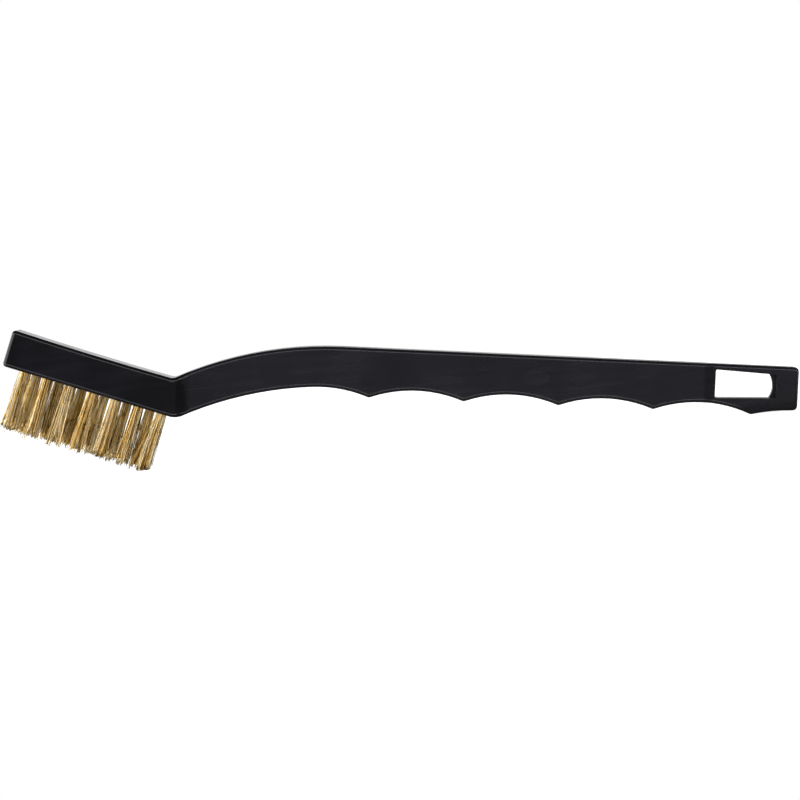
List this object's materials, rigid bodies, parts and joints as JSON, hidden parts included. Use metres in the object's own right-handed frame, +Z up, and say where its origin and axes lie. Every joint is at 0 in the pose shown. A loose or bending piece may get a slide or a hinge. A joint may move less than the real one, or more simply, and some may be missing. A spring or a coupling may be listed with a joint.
{
  "type": "wire scratch brush",
  "caption": "Small hand scratch brush with a black plastic finger-groove handle, a tilted head and staggered rows of brass wire tufts.",
  "frame": {"origin": "middle of the brush's footprint on the bench it rests on, at the bench's surface", "axes": "+X along the brush from the bristled head to the end with the hanging slot, +Y away from a viewer who has the head on the left, +Z up from the bench; the bristles point down"},
  "size_m": [0.1918, 0.011, 0.0362],
  "materials": {
    "handle_plastic": "satin",
    "brass_wire": "satin",
    "anchor_steel": "satin"
  },
  "bodies": {
    "root": {"handle_block": "handle_plastic", "tuft_front_1": "brass_wire", "tuft_front_2": "brass_wire", "tuft_front_3": "brass_wire", "tuft_front_4": "brass_wire", "tuft_front_5": "brass_wire", "tuft_front_6": "brass_wire", "tuft_front_7": "brass_wire", "tuft_middle_1": "brass_wire", "tuft_middle_2": "brass_wire", "tuft_middle_3": "brass_wire", "tuft_middle_4": "brass_wire", "tuft_middle_5": "brass_wire", "tuft_middle_6": "brass_wire", "tuft_back_1": "brass_wire", "tuft_back_2": "brass_wire", "tuft_back_3": "brass_wire", "tuft_back_4": "brass_wire", "tuft_back_5": "brass_wire", "tuft_back_6": "brass_wire", "tuft_back_7": "brass_wire", "anchor_front_1": "anchor_steel", "anchor_front_2": "anchor_steel", "anchor_front_3": "anchor_steel", "anchor_front_4": "anchor_steel", "anchor_front_5": "anchor_steel", "anchor_front_6": "anchor_steel", "anchor_front_7": "anchor_steel", "anchor_middle_1": "anchor_steel", "anchor_middle_2": "anchor_steel", "anchor_middle_3": "anchor_steel", "anchor_middle_4": "anchor_steel", "anchor_middle_5": "anchor_steel", "anchor_middle_6": "anchor_steel", "anchor_back_1": "anchor_steel", "anchor_back_2": "anchor_steel", "anchor_back_3": "anchor_steel", "anchor_back_4": "anchor_steel", "anchor_back_5": "anchor_steel", "anchor_back_6": "anchor_steel", "anchor_back_7": "anchor_steel"}
  },
  "joints": []
}
